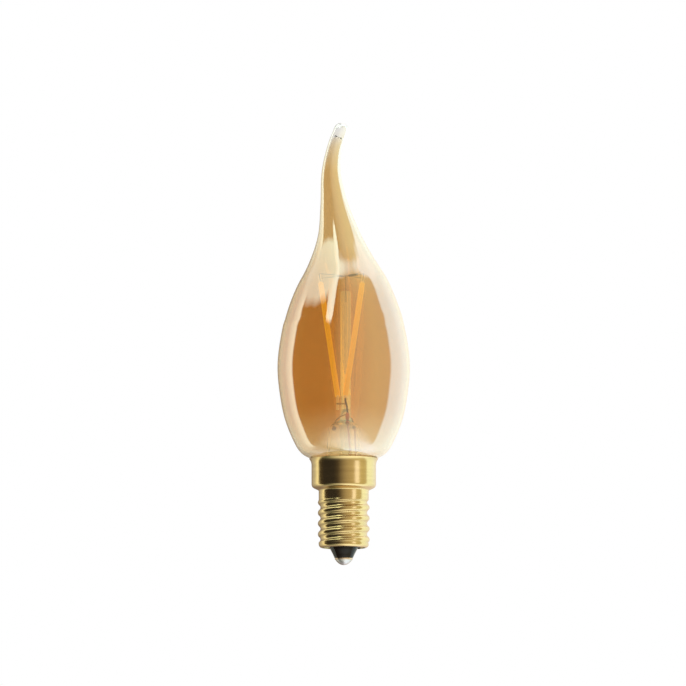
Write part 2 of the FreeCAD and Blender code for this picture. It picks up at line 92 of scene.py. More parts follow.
# %% [markdown]
# ## Studio
# The background is white to the camera and seen through the glass. Gloss needs more: the studio has
# bright screens behind the bulb at both sides, a warm pale wall at the front right, a light overhead,
# a white table and a dark room at the front left. Planes could stand for the screens, but they would
# show through the glass. So a world gives each direction its brightness, from its turn about the bulb
# and its height, and every shiny surface finds the same studio, from whichever side it is seen.

# %% Helpers for node trees
def new_tree(tree):
    """Empties a node tree and returns a function that adds a node and sets its inputs."""
    tree.nodes.clear()

    def add(kind, inputs=(), **settings):
        node = tree.nodes.new(kind)
        for name, value in settings.items():
            setattr(node, name, value)
        for name, value in dict(inputs).items():
            if isinstance(value, bpy.types.NodeSocket):
                tree.links.new(value, node.inputs[name])
            else:
                node.inputs[name].default_value = value
        return node

    return add


def ramp(add, source, stops, mode="LINEAR"):
    """Colour ramp whose stops are (place, colour) pairs."""
    node = add("ShaderNodeValToRGB", {"Fac": source})
    node.color_ramp.interpolation = mode
    elements = node.color_ramp.elements
    while len(elements) < len(stops):
        elements.new(0.5)
    for element, (place, colour) in zip(elements, stops):
        element.position = place
        element.color = (*colour, 1)
    return node.outputs["Color"]


def maths(add, operation, first, second):
    """Result of a Math node, whose two sockets have the same name and go by number."""
    return add("ShaderNodeMath", {0: first, 1: second}, operation=operation).outputs[0]


# A Mix node has a set of sockets for each data type. These are the numbers of its colour sockets.
MIX_FIRST = 6
MIX_SECOND = 7
MIX_RESULT = 2


def blend(add, share, first, second):
    """Mix of two colours: all of the first at a share of 0, all of the second at 1."""
    node = add("ShaderNodeMix", {
        "Factor": share, MIX_FIRST: first, MIX_SECOND: second,
    }, data_type="RGBA")
    return node.outputs[MIX_RESULT]


# %% Brightness of the studio by direction
def grey(value):
    return (value, value, value)


# Each stop is a turn in degrees from the camera towards its right, and the colour found there.
WALLS = (
    (-180, (0.32, 0.25, 0.18)), (-160, (0.42, 0.34, 0.25)), (-140, (0.85, 0.87, 0.71)),
    (-125, (1.07, 1.16, 1.0)), (-104, (2.4, 2.65, 2.15)), (-100, (0.13, 0.11, 0.07)),
    (-84, (0.08, 0.07, 0.05)), (-76, grey(0.05)), (-36, grey(0.05)), (-20, (0.12, 0.105, 0.075)),
    (-6, (0.42, 0.39, 0.27)), (12, (0.78, 0.73, 0.49)), (32, (0.98, 0.92, 0.56)),
    (60, (1.14, 1.14, 0.64)), (88, (1.05, 1.05, 0.64)), (93, (2.0, 2.6, 2.5)),
    (130, (1.75, 2.2, 2.15)), (160, (1.3, 1.22, 1.04)), (180, (0.88, 0.81, 0.70)),
)
CEILING = (
    (-180, grey(1.0)), (-80, (1.7, 2.1, 1.8)), (-42, (2.0, 2.6, 2.2)), (-28, (3.0, 3.6, 3.1)),
    (-15, (2.05, 2.6, 2.4)), (20, (2.05, 2.6, 2.6)), (110, (2.3, 2.75, 2.7)), (180, grey(1.4)),
)
TABLE = (
    (-180, grey(1.0)), (-80, (0.3, 0.4, 0.32)), (-40, (1.2, 1.35, 1.2)), (0, (1.9, 2.15, 2.05)),
    (40, (2.2, 2.6, 2.5)), (110, (2.2, 2.7, 2.9)), (180, grey(1.4)),
)
# Here the grey says how far up the ceiling's edge is moved.
EDGE = (
    (-180, grey(0.05)), (-120, grey(0.03)), (-97, grey(0.03)), (-75, grey(0.06)), (-50, grey(0.10)),
    (-42, grey(0.12)), (-36, grey(0.03)), (-27, grey(0.02)), (-18, grey(0.20)), (14, grey(0.222)),
    (39, grey(0.225)), (62, grey(0.20)), (80, grey(0.155)), (100, grey(0.08)), (180, grey(0.05)),
)
# Heights run from 0, straight down, over 0.5, level, to 1, straight up.
TABLE_SHARE = ((0.12, grey(1.0)), (0.2, grey(0.12)), (0.36, grey(0.0)))
CEILING_SHARE = ((0.715, grey(0.0)), (0.755, grey(1.0)))
DIFFUSE_LIGHT = grey(0.9)
WHITE = grey(1.0)
print("stops of the walls:", len(WALLS))


# %% The studio as a world
def by_turn(stops):
    """Stops whose turns in degrees have become places from 0 to 1."""
    return [(0.5 + degrees / 360, colour) for degrees, colour in stops]


def build_world():
    world = bpy.data.worlds.new("studio")
    world.use_nodes = True
    bpy.context.scene.world = world
    add = new_tree(world.node_tree)
    direction = add("ShaderNodeTexCoord").outputs["Generated"]
    parts = add("ShaderNodeSeparateXYZ", {"Vector": direction}).outputs
    turn = maths(add, "ARCTAN2", parts["X"], maths(add, "MULTIPLY", parts["Y"], -1.0))
    around = maths(add, "ADD", maths(add, "MULTIPLY", turn, 1 / (2 * math.pi)), 0.5)
    walls, ceiling, table = (ramp(add, around, by_turn(stops)) for stops in (WALLS, CEILING, TABLE))
    edge = ramp(add, around, by_turn(EDGE), "EASE")
    level = add("ShaderNodeMapRange", {"Value": parts["Z"], "From Min": -1.0, "From Max": 1.0})
    height = level.outputs[0]
    low_share = ramp(add, height, TABLE_SHARE)
    high_share = ramp(add, maths(add, "SUBTRACT", height, edge), CEILING_SHARE)
    screens = blend(add, low_share, blend(add, high_share, walls, ceiling), table)
    rays = add("ShaderNodeLightPath").outputs
    seen = maths(add, "MAXIMUM", rays["Is Camera Ray"], rays["Is Transmission Ray"])
    colour = blend(add, rays["Is Glossy Ray"], (*DIFFUSE_LIGHT, 1), screens)
    shown = blend(add, seen, colour, (*WHITE, 1))
    light = add("ShaderNodeBackground", {"Color": shown, "Strength": 1.0})
    add("ShaderNodeOutputWorld", {"Surface": light.outputs[0]})
    print("world nodes:", len(world.node_tree.nodes))


build_world()
bpy.context.scene.view_settings.view_transform = "Standard"

# %% [markdown]
# ## Strip light and floor
# A strip light at the front right gives the cap its bright upright line. In a studio a dark screen
# would keep it off the glass and the floor. Blender can link a light to a collection instead, and
# only the cap's pieces join the one below. The floor is wide and pale and catches the soft shadow.

# %% A strip light for the cap
lamp_lit = bpy.data.collections.new("lit_by_strip_light")


def hang_lamp():
    """Lamp a metre from the bulb, turned towards it, which shines on one collection alone."""
    turn = math.radians(49)
    height = 0.15
    tilt = 0.1
    sideways = (math.sin(turn), -math.cos(turn))
    lamp_data = bpy.data.lights.new("strip_light", "AREA")
    lamp_data.shape = "RECTANGLE"
    lamp_data.size = 0.3
    lamp_data.size_y = 1.0
    lamp_data.energy = 1.15
    lamp_data.color = (0.88, 1.05, 1.5)
    lamp = bpy.data.objects.new("strip_light", lamp_data)
    lamp.location = (*sideways, height)
    lamp.rotation_mode = "QUATERNION"
    lamp.rotation_quaternion = Vector((*sideways, tilt)).to_track_quat("Z", "Y")
    lamp.visible_transmission = False
    lamp.light_linking.receiver_collection = lamp_lit
    bpy.context.scene.collection.objects.link(lamp)
    print("strip light", round(lamp_data.size, 2), "by", round(lamp_data.size_y, 2), "m")


hang_lamp()


# %% A pale floor
def lay_floor():
    """Round floor below the bulb, which gloss doesn't show."""
    floor_radius = 3
    floor_height = -0.3
    mesh = bpy.data.meshes.new("floor")
    floor = bpy.data.objects.new("floor", mesh)
    builder = bmesh.new()
    bmesh.ops.create_circle(builder, cap_ends=True, segments=96, radius=floor_radius)
    builder.to_mesh(mesh)
    builder.free()
    floor.location = (0, 0, floor_height)
    floor.visible_glossy = False
    bpy.context.scene.collection.objects.link(floor)
    material = bpy.data.materials.new("pale_floor")
    material.use_nodes = True
    add = new_tree(material.node_tree)
    shader = add("ShaderNodeBsdfPrincipled", {"Base Color": (0.93, 0.93, 0.92, 1), "Roughness": 0.7})
    add("ShaderNodeOutputMaterial", {"Surface": shader.outputs[0]})
    mesh.materials.append(material)
    floor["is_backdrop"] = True
    print("floor", floor_radius, "m in radius")


lay_floor()

# %% [markdown]
# ## Finishes
# Each finish is one Principled shader with procedural nodes for what varies over the real surface:
# turning marks on brass, the grain of the phosphor, dull patches on solder. Noise in the object's own
# metres needs no unwrapping and has no seams. The glass is a clear shader whose colour follows the
# amber tint, which fades out towards the clear tip. Little light reaches what stands inside, so those
# finishes get painted light: an emission that makes them glow, though they are no lamps.

# %% Finish helpers
materials = {}


def new_material(name):
    material = bpy.data.materials.new(name)
    material.use_nodes = True
    materials[name] = material
    return new_tree(material.node_tree)


def noise(add, scale, detail=3.0, stretch=(1, 1, 1)):
    """Noise in metres of the object, denser along an axis where stretch is above 1."""
    place = add("ShaderNodeTexCoord").outputs["Object"]
    mapped = add("ShaderNodeMapping", {"Vector": place, "Scale": stretch})
    texture = add("ShaderNodeTexNoise", {"Vector": mapped.outputs[0], "Scale": scale, "Detail": detail})
    return texture.outputs["Fac"]


def bump(add, height, depth):
    node = add("ShaderNodeBump", {"Height": height, "Distance": depth, "Strength": 1.0})
    return node.outputs["Normal"]


# Painted light: an emission colour that makes a surface glow, though it is no lamp.
def painted_glow(colour, strength=1.0):
    return {"Emission Color": (*colour, 1), "Emission Strength": strength}


def finish(add, name, inputs):
    shader = add("ShaderNodeBsdfPrincipled", inputs)
    add("ShaderNodeOutputMaterial", {"Surface": shader.outputs[0]})
    print("finish", name)


# %% Metals
def metal(name, dark, light, rough, grain, depth, stretch=(1, 1, 1)):
    """Metal with a darker and a lighter colour, whose duller spots follow the same noise."""
    add = new_material(name)
    spots = noise(add, grain, 4.0, stretch)
    colour = ramp(add, spots, [(0.3, dark), (0.7, light)])
    dull = add("ShaderNodeMapRange", {"Value": spots, "To Min": rough * 0.8, "To Max": rough * 1.25})
    finish(add, name, {
        "Base Color": colour, "Metallic": 1.0, "Roughness": dull.outputs[0],
        "Normal": bump(add, spots, depth),
    })


# The grain is the noise's scale and the depth is that of its bumps in metres.
metal("brass", (0.45, 0.302, 0.14), (0.52, 0.355, 0.165), rough=0.2, grain=90, depth=4e-6,
      stretch=(1, 1, 14))
metal("eyelet", (0.40, 0.26, 0.17), (0.52, 0.37, 0.26), rough=0.35, grain=900, depth=2e-5)
metal("tin", (0.32, 0.275, 0.265), (0.46, 0.405, 0.39), rough=0.3, grain=700, depth=6e-5)
metal("copper", (0.66, 0.30, 0.19), (0.80, 0.42, 0.28), rough=0.3, grain=1200, depth=1e-5)

# %% [markdown]
# ## Glass
# Real glass of this kind mirrors about a twenty-fifth of the light, and more where it is seen at a
# slant. The photograph's glass shows stronger mirror bands. A clear coat with a high index makes them
# without changing how the glass bends light.


# %% Clear and tinted glass
def tint_by_height(add, stops):
    """Colour by the height in the model's box, from 0 at its foot to 1 at its top."""
    height = add("ShaderNodeSeparateXYZ", {"Vector": add("ShaderNodeTexCoord").outputs["Object"]})
    share = add("ShaderNodeMapRange", {
        "Value": height.outputs["Z"], "From Min": cad_low.z, "From Max": cad_high.z,
    })
    return ramp(add, share.outputs[0], stops)


def glass(name, tint, coat=0.0, coat_ior=1.5, painted_light=(0, 0, 0)):
    """Glass in one colour, or in a list of (height, colour) stops. Its emission colour is painted light."""
    add = new_material(name)
    colour = tint_by_height(add, tint) if isinstance(tint, list) else (*tint, 1)
    finish(add, name, {
        "Base Color": colour, "Roughness": 0.0, "IOR": 1.5, "Transmission Weight": 1.0,
        "Coat Weight": coat, "Coat Roughness": 0.0, "Coat IOR": coat_ior, **painted_glow(painted_light),
    })


clear = (0.97, 0.97, 0.95)
bead_grey = (0.92, 0.91, 0.88)
amber = (0.73, 0.44, 0.145)
amber_foot = (0.85, 0.71, 0.48)
amber_top = (0.82, 0.64, 0.37)
amber_fading = (0.87, 0.76, 0.58)
amber_stops = [
    (0.24, amber_foot), (0.35, amber), (0.60, amber), (0.72, amber_top), (0.89, amber_top),
    (0.945, amber_fading), (0.985, bead_grey),
]
glass("amber_glass", amber_stops, coat=1.0, coat_ior=2.2)
glass("amber_inside", amber_stops)
# The stem and the rod have painted light: an emission that makes the clear glass glow pale, as if lit from
# inside.
glass("stem_glass", clear, coat=1.0, coat_ior=2.0, painted_light=(0.033, 0.031, 0.014))
glass("rod_glass", clear, coat=1.0, coat_ior=2.4, painted_light=(0.10, 0.16, 0.16))


# %% Coats, wires, ceramics and plastics
def coated(name, dark, light, rough, grain, depth, more=()):
    """Dull finish with a darker and a lighter colour, and more inputs of the shader."""
    add = new_material(name)
    spots = noise(add, grain)
    inputs = {
        "Base Color": ramp(add, spots, [(0.35, dark), (0.65, light)]), "Roughness": rough,
        "Normal": bump(add, spots, depth),
    }
    inputs.update(more)
    finish(add, name, inputs)


# The phosphor, the strips and the wires have painted light: an emission that stands in for the light that
# hardly reaches inside the flame.
coated("phosphor", (0.93, 0.46, 0.03), (1.0, 0.56, 0.05), rough=0.6, grain=1800, depth=3e-5,
       more=painted_glow((1.0, 0.76, 0.09), 0.75))
coated("strip_steel", (0.88, 0.74, 0.50), (0.96, 0.84, 0.62), rough=0.5, grain=1200, depth=1e-5,
       more={"Metallic": 0.3, **painted_glow((1.0, 0.86, 0.6), 0.5)})
coated("nickel", (0.40, 0.31, 0.18), (0.52, 0.42, 0.27), rough=0.4, grain=1500, depth=1e-5,
       more={"Metallic": 0.3, **painted_glow((1.0, 0.7, 0.4), 0.2)})
coated("dark_wire", (0.11, 0.075, 0.04), (0.17, 0.12, 0.065), rough=0.4, grain=1500, depth=1e-5,
       more={"Metallic": 0.2, **painted_glow((1.0, 0.5, 0.2), 0.08)})
coated("black_glass", (0.011, 0.006, 0.004), (0.020, 0.012, 0.008), rough=0.16, grain=260, depth=3e-5,
       more={"Specular IOR Level": 0.14})
coated("cement", (0.30, 0.27, 0.20), (0.44, 0.40, 0.31), rough=0.9, grain=1300, depth=1e-4)
coated("laminate", (0.02, 0.16, 0.07), (0.03, 0.22, 0.10), rough=0.5, grain=900, depth=2e-5)
coated("moulding", (0.02, 0.02, 0.02), (0.035, 0.035, 0.035), rough=0.6, grain=1500, depth=2e-5)
coated("sleeve", (0.03, 0.035, 0.06), (0.05, 0.055, 0.09), rough=0.35, grain=600, depth=1e-5)
coated("resistor_body", (0.25, 0.36, 0.31), (0.33, 0.45, 0.39), rough=0.55, grain=900, depth=3e-5)

# %% [markdown]
# ## Smooth skins from rings
# Blown glass and turned or rolled metal are rings stacked along a line. One helper joins rings of
# points into a mesh, welds the poles shut and shades it smoothly. A turned piece is the same thing
# with its outline of radius and height. A screw modifier would do for those, but not for the bent tip
# or the thread, so one helper serves them all and most pieces here need only a good outline.

# %% Put a piece in a node's place
LAMP_SLOTS = ("cap_brass", "black_glass", "contact_metal", "solder")


def stand_for(piece, slot, node):
    """Links a piece to the scene, where it stands for a node of the model."""
    bpy.context.scene.collection.objects.link(piece)
    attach(piece, "root")
    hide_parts(node)
    if slot in LAMP_SLOTS:
        lamp_lit.objects.link(piece)


# %% Rings to meshes
SOFT_CREASE = math.radians(40)
WELD_DISTANCE = 1e-7


def skin(name, rings, material, slot, node, closed=False, crease=SOFT_CREASE, inside=None):
    """Smooth piece from rings of equal point counts. A closed one joins its last ring to its first.

    Where inside is given, it is the material of the first rows and how many of them wear it.
    """
    builder = bmesh.new()
    rows = [[builder.verts.new(spot) for spot in ring] for ring in rings]
    if closed:
        rows.append(rows[0])
    inside_rows = inside[1] if inside else 0
    for number, (low, high) in enumerate(zip(rows, rows[1:])):
        for here in range(len(low)):
            after = (here + 1) % len(low)
            face = builder.faces.new((low[here], low[after], high[after], high[here]))
            face.material_index = int(number < inside_rows)
    bmesh.ops.remove_doubles(builder, verts=builder.verts, dist=WELD_DISTANCE)
    bmesh.ops.dissolve_degenerate(builder, edges=builder.edges, dist=WELD_DISTANCE)
    bmesh.ops.recalc_face_normals(builder, faces=builder.faces)
    mesh = bpy.data.meshes.new(name)
    builder.to_mesh(mesh)
    builder.free()
    mesh.polygons.foreach_set("use_smooth", [True] * len(mesh.polygons))
    mesh.set_sharp_from_angle(angle=crease)
    mesh.materials.append(materials[material])
    if inside:
        mesh.materials.append(materials[inside[0]])
    stand_for(bpy.data.objects.new(name, mesh), slot, node)
    print(name, len(mesh.polygons), "faces")


# %% Circles and turned pieces
def full_turn(sides):
    """Angles in equal steps round a full turn."""
    return [2 * math.pi * side / sides for side in range(sides)]


def circle(radius, height, x=0.0, y=0.0, sides=96):
    """Level ring in metres from sizes in millimetres."""
    return [
        Vector((x + radius * math.cos(turn), y + radius * math.sin(turn), height)) * MM
        for turn in full_turn(sides)
    ]


def turned(name, outline, material, slot, node, x=0.0, y=0.0, sides=96, closed=False):
    """Piece turned about an upright line from an outline of (radius, height) in millimetres."""
    rings = [circle(radius, height, x, y, sides) for radius, height in outline]
    skin(name, rings, material, slot, node, closed=closed)


def smooth_line(points, steps):
    """Curve through points of any size, with even handles at each (a Catmull-Rom line)."""
    points = [Vector(point) for point in points]
    before = points[0] * 2 - points[1]
    after = points[-1] * 2 - points[-2]
    line = []
    for a, b, c, d in zip([before] + points, points, points[1:], points[2:] + [after]):
        for step in range(steps):
            t = step / steps
            line.append(
                0.5 * (2 * b + (c - a) * t + (2 * a - 5 * b + 4 * c - d) * t ** 2
                       + (3 * b - a - 3 * c + d) * t ** 3)
            )
    line.append(points[-1])
    return line


# %% [markdown]
# ## The glass flame
# A glass flame is blown from tube, then its softened tip is drawn out and bent. Its outline is given
# as shares of the belly's rise and of the flame's length, as the model has it. The tip leans over and
# curls back, so its rings stand square to a bent middle line. The wall has an outer and an inner
# skin, because glass bends light at both, and the end of the tip is a solid bead.

# %% Outline of the flame
seal_height = 21.65
rim_height = 28.15
belly_height = 52.45
top_height = cad_high.z / MM
glass_radius = 17.5
seal_radius = 7.15
neck_radius = 7.65
neck_place = 0.45
swell = 0.35
swell_drop = 0.6
tip_radius = 1.95
tip_swell = 1.04
tip_swell_place = 0.91
belly_rise = belly_height - rim_height
flame_length = top_height - tip_radius - belly_height
outline_steps = 8

# Each pair is a share of the height and the share of the full radius there.
below_belly = ((0.055, 0.63), (0.17, 0.742), (0.42, 0.884), (0.70, 0.964), (1.0, 1.0))
above_belly = (
    (0.115, 0.958), (0.225, 0.865), (0.345, 0.700), (0.445, 0.500), (0.555, 0.325), (0.68, 0.213),
    (0.80, 0.152),
)
glass_outline = [
    (seal_radius, seal_height),
    (neck_radius, seal_height + neck_place * (rim_height - seal_height)),
    (neck_radius + swell, rim_height - swell_drop),
]
glass_outline += [(width * glass_radius, rim_height + rise * belly_rise) for rise, width in below_belly]
glass_outline += [
    (width * glass_radius, belly_height + rise * flame_length) for rise, width in above_belly
]
glass_outline += [
    (tip_radius * tip_swell, belly_height + tip_swell_place * flame_length),
    (tip_radius, belly_height + flame_length),
]
outer_line = [tuple(spot) for spot in smooth_line(glass_outline, outline_steps)]
print("glass radius", glass_radius, "top", round(top_height, 2), "points", len(outer_line))

# %% The bent middle line
lean_height = belly_height + 13.5
lean_reach = 3.35
lean_span = top_height - tip_radius - lean_height
straight_run = 4
middle_steps = 24

# Each pair is a share of the leaning height and of the reach to the side there.
leans = ((0, 0), (0.20, 0.08), (0.42, 0.37), (0.60, 0.76), (0.77, 1.0), (0.90, 0.74), (1.0, 0.20))
middle_spots = [Vector((0, 0, lean_height - straight_run))]
middle_spots += [Vector((-lean * lean_reach, 0, lean_height + share * lean_span)) for share, lean in leans]
middle_line = smooth_line(middle_spots, middle_steps)


def middle_at(height):
    """Place and direction of the middle line at a height."""
    if height <= middle_line[0].z:
        return Vector((0, 0, height)), Vector((0, 0, 1))
    for low, high in zip(middle_line, middle_line[1:]):
        if low.z <= height <= high.z:
            share = (height - low.z) / (high.z - low.z)
            return low.lerp(high, share), (high - low).normalized()
    last = middle_line[-1]
    direction = (last - middle_line[-3]).normalized()
    return last + direction * (height - last.z), direction


print("middle line:", len(middle_line), "points")

# %% The two skins of the glass
wall = 0.7
bead_length = 2.3
cavity_top = top_height - tip_radius - bead_length
glass_sides = 128
end_steps = 8


def glass_ring(radius, height):
    """Ring in metres that stands square to the middle line."""
    centre, direction = middle_at(height)
    across = Vector((0, 1, 0)).cross(direction).normalized()
    return [
        (centre + across * (radius * math.cos(turn)) + Vector((0, radius * math.sin(turn), 0))) * MM
        for turn in full_turn(glass_sides)
    ]


def round_end(radius, height):
    """Outline of a half-round end that closes at its pole."""
    turns = [math.pi / 2 * step / end_steps for step in range(1, end_steps + 1)]
    return [(radius * math.cos(turn), height + radius * math.sin(turn)) for turn in turns]


outer_spots = outer_line + round_end(tip_radius, outer_line[-1][1])
inner_spots = [(seal_radius - wall, seal_height)]
for before, here, after in zip(outer_line, outer_line[1:], outer_line[2:]):
    along = Vector((after[0] - before[0], after[1] - before[1])).normalized()
    spot = (here[0] - wall * along.y, here[1] + wall * along.x)
    if seal_height < spot[1] < cavity_top:
        inner_spots.append(spot)
inner_spots += round_end(inner_spots[-1][0], inner_spots[-1][1])
glass_rings = [glass_ring(*spot) for spot in list(reversed(inner_spots)) + outer_spots]
skin("glass_flame", glass_rings, "amber_glass", "amber_glass", "glass_envelope",
     inside=("amber_inside", len(inner_spots)))

# %% [markdown]
# ## The stem
# Inside stands a clear glass mount: a flared tube with a domed end, a thin pump tube that hangs in
# it, and a solid rod on top that holds the upper wires. They are shaped in a flame while they spin,
# so all three are turned outlines.

# %% Stem tube
stem_radius = 4.45
stem_wall = 0.8
stem_top = 37.95
dome_foot = stem_top - 2.65
seat_radius = 2.3
flange_low = seal_height - 0.8
flare_top = seal_height + 2
flare_radius = seal_radius - wall - 0.1


def dome_outline(inset):
    """Outline from the straight tube over the dome's shoulder to its flat seat."""
    radius = stem_radius - inset
    top = stem_top - inset
    shoulder = (seat_radius + (radius - seat_radius) * 0.68, dome_foot + (top - dome_foot) * 0.64)
    points = [(radius, dome_foot - drop) for drop in (3, 1, 0)]
    points += [shoulder, (seat_radius + 0.3, top - 0.12), (seat_radius, top)]
    return [tuple(spot) for spot in smooth_line(points, 6)]


stem_outside = [(seal_radius, flange_low), (seal_radius, seal_height), (flare_radius, seal_height)]
stem_outside += [(stem_radius, flare_top)] + dome_outline(0) + [(0, stem_top)]
stem_inside = [(flare_radius - stem_wall, flange_low), (flare_radius - stem_wall, seal_height)]
stem_inside += [(stem_radius - stem_wall, flare_top)] + dome_outline(stem_wall)
stem_inside.append((0, stem_top - stem_wall))
turned("stem_skin", list(reversed(stem_inside)) + stem_outside, "stem_glass", "clear_glass", "stem_tube")

# %% Pump tube and rod
column_x = 0.5
column_radius = 1.4
column_top = 72.44
column_edge = 0.5
column_sides = 48
pump_radius = 1.7
pump_bore = 1.0
pump_low = flange_low + 1
pump_tip = 1.0
pump_turns = (0.5, 1.0, 1.57)
pump_top = stem_top - stem_wall
edge_turns = (0.4, 0.8, 1.2, 1.57)

pump = [(0, pump_low)]
pump += [
    (pump_radius * math.sin(turn), pump_low + pump_tip * (1 - math.cos(turn))) for turn in pump_turns
]
pump += [(pump_radius, pump_top), (pump_bore, pump_top), (pump_bore, pump_low + 1.2), (0, pump_low + 0.8)]
turned("pump_tube", pump, "stem_glass", "clear_glass", "exhaust_tube", x=column_x, sides=column_sides)

rod = [(0, stem_top), (1.8, stem_top), (1.62, stem_top + 0.35), (1.46, stem_top + 0.8)]
rod += [(column_radius, stem_top + 1.3), (column_radius, column_top - column_edge)]
for turn in edge_turns:
    radius = column_radius - column_edge + column_edge * math.cos(turn)
    rod.append((radius, column_top - column_edge + column_edge * math.sin(turn)))
rod.append((0, column_top))
turned("rod", rod, "rod_glass", "clear_glass", "centre_column", x=column_x, sides=column_sides)

# %% [markdown]
# ## Filaments
# An LED filament is a thin metal strip with a row of chips, moulded into a round bar of yellow
# phosphor gel, so its coat has softly rounded ends. Each coat is laid along its strip, whose ends
# are read from the corners of the model's strip. The strip keeps the model's upper end, but its
# foot tab is bent to hang straight down, because the photograph shows it so.

# %% A strip's ends and directions
strip_half_width = 0.4
strip_half_thickness = 0.15
foot_tab = 3.4
top_tab = 2.0
bend_length = 0.1


def strip_ends(row, side):
    """Middles of the foot and of the top of the model's strip, in millimetres."""
    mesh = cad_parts["strip_" + row + "_" + side].data
    spots = sorted((vertex.co.copy() for vertex in mesh.vertices), key=lambda spot: spot.z)
    half = len(spots) // 2
    low = sum(spots[:half], Vector()) / half
    high = sum(spots[half:], Vector()) / (len(spots) - half)
    return low / MM, high / MM


def strip_axes(low, high):
    """Directions along a strip, across it and out of its face, away from the other row."""
    along = (high - low).normalized()
    outward = Vector((1, 0, 0)).cross(along) * (1 if low.y < 0 else -1)
    return along, outward.cross(along), outward.normalized()


def bare_strip(row, side):
    """Makes a flat strip whose foot tab is bent down, and returns the place of its foot."""
    low, high = strip_ends(row, side)
    along, across, outward = strip_axes(low, high)
    bend = low + along * foot_tab
    foot = Vector((bend.x, low.y, low.z))
    corners = ((-1, -1), (1, -1), (1, 1), (-1, 1))
    rings = []
    for spot in (foot, bend - along * bend_length, high):
        half_width = across * strip_half_width
        half_thickness = outward * strip_half_thickness
        rings.append([(spot + half_width * a + half_thickness * b) * MM for a, b in corners])
    foot_pole, top_pole = ([sum(ring, Vector()) / 4] * 4 for ring in (rings[0], rings[-1]))
    skin("bar_" + row + "_" + side, [foot_pole] + rings + [top_pole], "strip_steel", "strip_metal",
         "strip_" + row + "_" + side)
    return foot


# %% The coat round a strip
coat_radius = 0.7
coat_round = 0.35
coat_rows = 12
coat_sides = 32


def coat(row, side):
    """Round bar of phosphor between the two tabs of a strip."""
    low, high = strip_ends(row, side)
    along = (high - low).normalized()
    across = along.cross(Vector((0, 1, 0))).normalized()
    depth = across.cross(along)
    length = (high - low).length - foot_tab - top_tab
    end = [(0, 0), (coat_radius - coat_round, 0)]
    for turn in (math.pi / 2 * step / 4 for step in range(1, 5)):
        radius = coat_radius - coat_round + coat_round * math.sin(turn)
        end.append((radius, coat_round * (1 - math.cos(turn))))
    spots = end + [(coat_radius, length * step / coat_rows) for step in range(1, coat_rows)]
    spots += [(radius, length - rise) for radius, rise in reversed(end)]
    rings = []
    for radius, rise in spots:
        centre = low + along * (foot_tab + rise)
        rings.append([
            (centre + across * (radius * math.cos(turn)) + depth * (radius * math.sin(turn))) * MM
            for turn in full_turn(coat_sides)
        ])
    skin("coat_" + row + "_" + side, rings, "phosphor", "phosphor", "filament_" + row + "_" + side)


strip_feet = {}
for row in ("front", "rear"):
    for side in ("left", "right"):
        coat(row, side)
        strip_feet[row, side] = bare_strip(row, side)

# %% [markdown]
# ## The cap
# The cap is thin brass sheet, drawn to a cup and rolled between two dies, which presses the round
# thread into it. A helix is a wave that climbs one pitch a turn, so the thread is one formula for the
# radius at each turn and height. The skirt, shoulder and flared rim above it are turned.

# %% Rolled thread
pitch = 2.822
crest = 13.65 / 2
root = 12.29 / 2
band = 6.6
thread_low = 5.45
thread_high = 17.45
run_out = 0.9
thread_phase = 15.2


def thread_radius(turn, height):
    """Crest and root arcs that meet at half depth, fading into the plain band at both ends."""
    depth = crest - root
    arc = ((pitch / 4) ** 2 + (depth / 2) ** 2) / depth
    along = height - thread_phase - pitch * turn / (2 * math.pi)
    off = abs(along - pitch * round(along / pitch))
    if off < pitch / 4:
        radius = crest - arc + math.sqrt(arc ** 2 - off ** 2)
    else:
        radius = root + arc - math.sqrt(arc ** 2 - (pitch / 2 - off) ** 2)
    share = max(0.0, min(1.0, min(height - thread_low, thread_high - height) / run_out))
    return band + (radius - band) * share * share * (3 - 2 * share)


print("thread", 2 * crest, "mm over the crests,", pitch, "mm pitch")

# %% The whole shell
sheet = 0.25
bottom_round = 0.9
bottom_steps = 6
thread_rows = 140
cap_sides = 168
skirt_radius = 8.5
sharp_crease = math.radians(60)
shoulder_lift = 0.4

upper_outline = [(band, height) for height in (thread_high, 18.6, 19.4)]
upper_outline += [
    (6.63, 19.62), (6.78, 19.8), (7.2, 20.0), (7.8, 20.27), (8.15, 20.48), (8.36, 20.76), (8.47, 21.08),
]
upper_outline += [(skirt_radius, height) for height in (21.4, 22.4, 24.2, 26.0, 26.5)]
upper_outline += [(8.55, 26.9), (8.68, 27.35), (8.9, 27.78), (9.12, 28.08)]


def cap_rings(inset):
    """Rings from the bottom edge up to the rim, moved in by an inset."""
    rings = []
    for step in range(bottom_steps + 1):
        turn = math.pi / 2 * step / bottom_steps
        radius = band - bottom_round + (bottom_round - inset) * math.sin(turn)
        height = thread_low - (bottom_round - inset) * math.cos(turn)
        rings.append(circle(radius, height, sides=cap_sides))
    for row in range(1, thread_rows):
        height = thread_low + (thread_high - thread_low) * row / thread_rows
        ring = []
        for turn in full_turn(cap_sides):
            radius = thread_radius(turn, height) - inset
            ring.append(Vector((math.cos(turn) * radius, math.sin(turn) * radius, height)) * MM)
        rings.append(ring)
    for radius, height in upper_outline:
        lift = inset * shoulder_lift * (radius > band)
        rings.append(circle(radius - inset, height + lift, sides=cap_sides))
    return rings


skin("cap_shell", cap_rings(0) + list(reversed(cap_rings(sheet))), "brass", "cap_brass", "screw_cap",
     closed=True, crease=sharp_crease)

# %% [markdown]
# ## Contact
# Black glass closes the bottom of the cap and narrows to the contact: a brass eyelet under a dome of
# solder. The press and the surface tension of the solder make them round, so they are turned too.

# %% Insulator, eyelet and solder
solder_edge = 1.35
glass_low = 1.85
well_top = 4.05

nose = smooth_line([(2.4, glass_low), (2.62, 2.3), (2.87, 2.85), (3.15, 3.4), (3.44, 3.95), (3.7, 4.55)], 6)
insulator = [(1.0, glass_low)] + [tuple(spot) for spot in nose]
insulator += [(3.7, 4.8), (5.6, 4.8), (5.6, 6.5), (0.25, 6.5), (0.25, well_top), (1.0, well_top)]
turned("insulator_glass", insulator, "black_glass", "black_glass", "insulator", closed=True)

